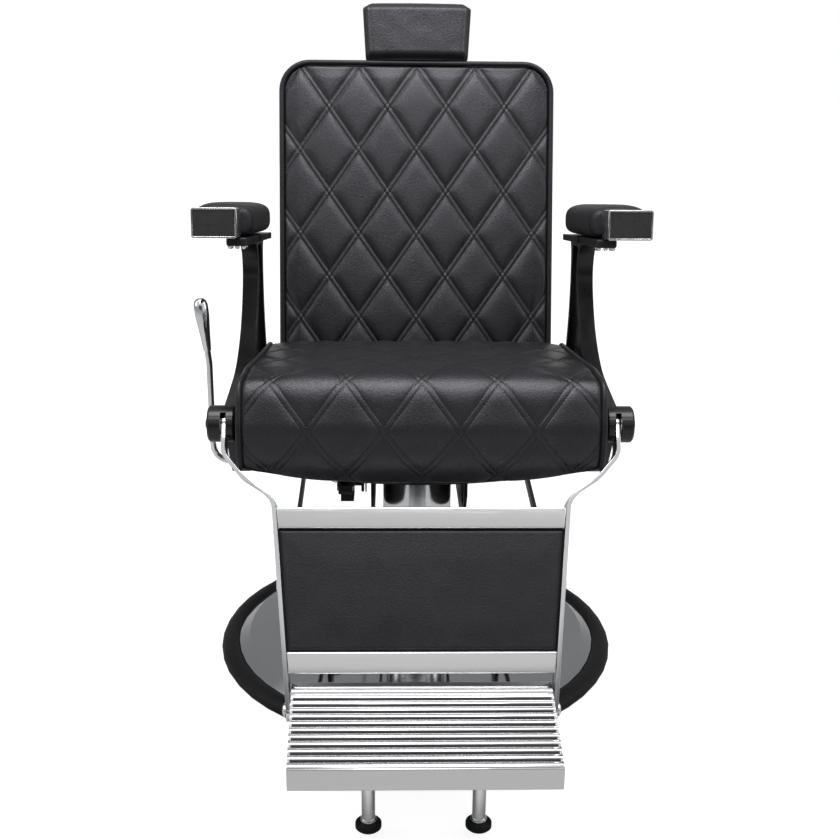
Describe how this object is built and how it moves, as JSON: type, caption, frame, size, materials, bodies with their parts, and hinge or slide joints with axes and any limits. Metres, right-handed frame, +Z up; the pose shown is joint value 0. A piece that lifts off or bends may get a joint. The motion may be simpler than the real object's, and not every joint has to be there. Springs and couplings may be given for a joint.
{
  "type": "barber chair",
  "caption": "Hydraulic barber chair: reclining quilted back, linked legrest with folding footplate, swivel seat on a pump column and a round base.",
  "frame": {"origin": "the pump's axis where it meets the floor, in the middle of the base's flat underside", "axes": "+Z up the pump, +X to the sitter's left, the chair faces -Y"},
  "size_m": [0.7158, 1.051, 1.0945],
  "materials": {
    "chrome": "mirror plated",
    "polished_aluminium": "brushed and polished",
    "black_cast": "gloss black enamel",
    "black_steel": "satin black",
    "bright_steel": "machined",
    "cast_iron": "rough, painted",
    "black_leather": "grained, semi-matt",
    "rubber": "matt",
    "plywood": "raw",
    "dark_face": "dark anodised"
  },
  "bodies": {
    "base": {"base_casting": "cast_iron", "base_cover": "chrome", "base_ring": "rubber", "pump_body": "black_steel", "pedal_pin": "bright_steel"},
    "pedal": {"pedal_arm": "chrome", "pedal_tread": "rubber"},
    "ram": {"pump_ram": "bright_steel", "pump_sleeve": "chrome"},
    "swivel": {"swivel_hub": "cast_iron", "mechanism_channel": "black_steel", "seat_frame": "black_steel", "lock_pin": "bright_steel", "seat_board": "plywood", "seat_cushion": "black_leather", "side_arm_left": "black_cast", "side_arm_right": "black_cast", "armrest_bracket_left": "black_steel", "armrest_bracket_right": "black_steel", "armrest_cap_left": "chrome", "armrest_cap_right": "chrome", "armrest_cap_face_left": "dark_face", "armrest_cap_face_right": "dark_face", "armrest_pad_left": "black_leather", "armrest_pad_right": "black_leather", "footrest_pivot_pin_left": "black_cast", "footrest_pivot_pin_right": "black_cast", "back_hinge_pin_left": "bright_steel", "back_hinge_pin_right": "bright_steel"},
    "backrest": {"back_frame": "black_steel", "back_board": "plywood", "back_shell": "black_leather", "back_cushion": "black_leather", "headrest_socket": "black_steel", "link_bolt_left": "bright_steel", "link_bolt_right": "bright_steel"},
    "headrest_slide": {"headrest_bar": "chrome", "headrest_tilt_pin": "bright_steel"},
    "headrest": {"headrest_pad": "black_leather", "headrest_hinge": "black_steel"},
    "legrest": {"leg_bar_left": "chrome", "leg_bar_right": "chrome", "legrest_panel": "black_leather", "legrest_top_trim": "polished_aluminium", "legrest_bottom_trim": "polished_aluminium", "footplate_pivot_left": "chrome", "footplate_pivot_right": "chrome"},
    "footplate": {"footplate": "polished_aluminium", "foot_post_left": "chrome", "foot_post_right": "chrome", "foot_pad_left": "rubber", "foot_pad_right": "rubber"},
    "link_left": {"link_rod_left": "black_steel"},
    "link_right": {"link_rod_right": "black_steel"},
    "lock": {"lock_cylinder": "chrome"},
    "lock_rod": {"lock_rod": "bright_steel"},
    "valve": {"valve_pin": "bright_steel"},
    "lever": {"release_shaft": "chrome", "release_grip": "chrome", "release_fork": "black_steel"}
  },
  "joints": [
    {"name": "pedal_press", "type": "hinge", "parent": "base", "child": "pedal", "pos_m": [0, 0.085, 0.088], "axis": [-1, 0, 0], "range_deg": [0, 16], "stiffness_Nm_per_rad": 50, "springref_deg": -6.88},
    {"name": "ram_lift", "type": "slide", "parent": "base", "child": "ram", "axis": [0, 0, 1], "range_m": [0, 0.15]},
    {"name": "chair_swivel", "type": "hinge", "parent": "ram", "child": "swivel", "pos_m": [0, 0, 0.35], "axis": [0, 0, 1], "continuous": true},
    {"name": "backrest_recline", "type": "hinge", "parent": "swivel", "child": "backrest", "pos_m": [0, 0.215, 0.425], "axis": [-1, 0, 0], "range_deg": [0, 42]},
    {"name": "legrest_swing", "type": "hinge", "parent": "swivel", "child": "legrest", "pos_m": [0, -0.235, 0.48], "axis": [-1, 0, 0], "range_deg": [0, 33]},
    {"name": "footplate_fold", "type": "hinge", "parent": "legrest", "child": "footplate", "pos_m": [0, -0.43644, 0.1166], "axis": [-1, 0, 0], "range_deg": [0, 55]},
    {"name": "headrest_height", "type": "slide", "parent": "backrest", "child": "headrest_slide", "axis": [0, 0.2419, 0.9703], "range_m": [0, 0.09]},
    {"name": "headrest_tilt", "type": "hinge", "parent": "headrest_slide", "child": "headrest", "pos_m": [0, 0.38585, 1.02344], "axis": [-1, 0, 0], "range_deg": [0, 30]},
    {"name": "link_left_pivot", "type": "hinge", "parent": "backrest", "child": "link_left", "pos_m": [0.2072, 0.205, 0.262], "axis": [-1, 0, 0], "range_deg": [-39, 0]},
    {"name": "link_right_pivot", "type": "hinge", "parent": "backrest", "child": "link_right", "pos_m": [-0.2072, 0.205, 0.262], "axis": [-1, 0, 0], "range_deg": [-39, 0]},
    {"name": "lock_pivot", "type": "hinge", "parent": "swivel", "child": "lock", "pos_m": [-0.118, -0.145, 0.345], "axis": [-1, 0, 0], "range_deg": [-2.5, 0]},
    {"name": "lock_rod_slide", "type": "slide", "parent": "lock", "child": "lock_rod", "axis": [0, -0.9998, 0.0216], "range_m": [0, 0.063]},
    {"name": "valve_press", "type": "slide", "parent": "lock", "child": "valve", "axis": [0, -0.9998, 0.0216], "range_m": [0, 0.0145]},
    {"name": "release_lever", "type": "hinge", "parent": "swivel", "child": "lever", "pos_m": [-0.25, 0, 0.338], "axis": [-1, 0, 0], "range_deg": [0, 22], "stiffness_Nm_per_rad": 6, "springref_deg": -11.46}
  ],
  "couplings": [
    {"joint": "legrest_swing", "follows": "backrest_recline", "ratio": 0.7771},
    {"joint": "link_left_pivot", "follows": "backrest_recline", "ratio": -0.909},
    {"joint": "link_right_pivot", "follows": "backrest_recline", "ratio": -0.909},
    {"joint": "lock_pivot", "follows": "backrest_recline", "ratio": -0.0458},
    {"joint": "lock_rod_slide", "follows": "backrest_recline", "m_per_rad": 0.0835},
    {"joint": "valve_press", "follows": "release_lever", "m_per_rad": 0.036}
  ]
}
